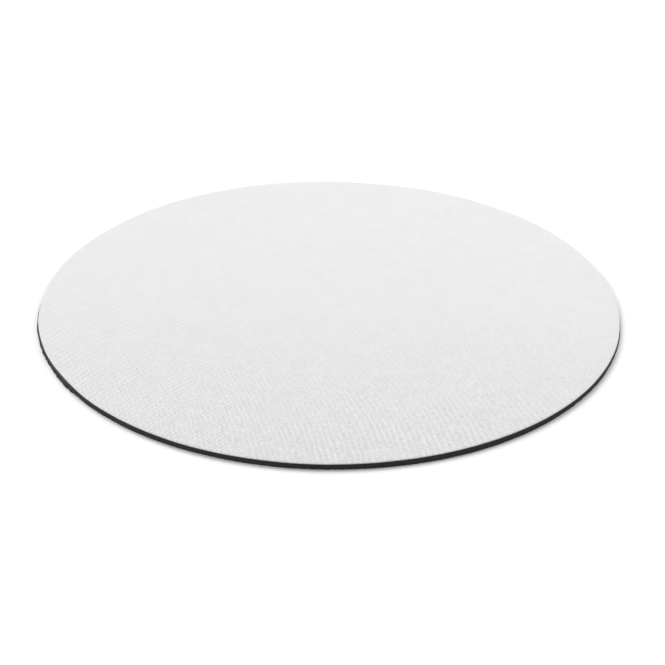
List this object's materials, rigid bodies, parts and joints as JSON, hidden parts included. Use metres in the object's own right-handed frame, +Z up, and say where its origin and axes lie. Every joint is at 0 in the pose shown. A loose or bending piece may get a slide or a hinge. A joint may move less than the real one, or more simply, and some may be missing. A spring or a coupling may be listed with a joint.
{
  "type": "mouse pad",
  "caption": "Thin round mouse pad: white woven cloth bonded to a black foam-rubber base, with a bare die-cut edge and a non-slip underside.",
  "frame": {"origin": "centre of the underside, on the desk", "axes": "+Z up through the pad, out of the cloth face; X and Y across the pad"},
  "size_m": [0.2004, 0.2004, 0.0023],
  "materials": {
    "white_polyester_cloth": "matte, plain-woven polyester",
    "hot_melt_film": "cloudy, dark over the black foam",
    "black_foam_rubber": "matte, cut foam at the edge and an embossed skin underneath"
  },
  "bodies": {
    "root": {"cloth_top": "white_polyester_cloth", "bonding_film": "hot_melt_film", "foam_rubber_base": "black_foam_rubber"}
  },
  "joints": []
}
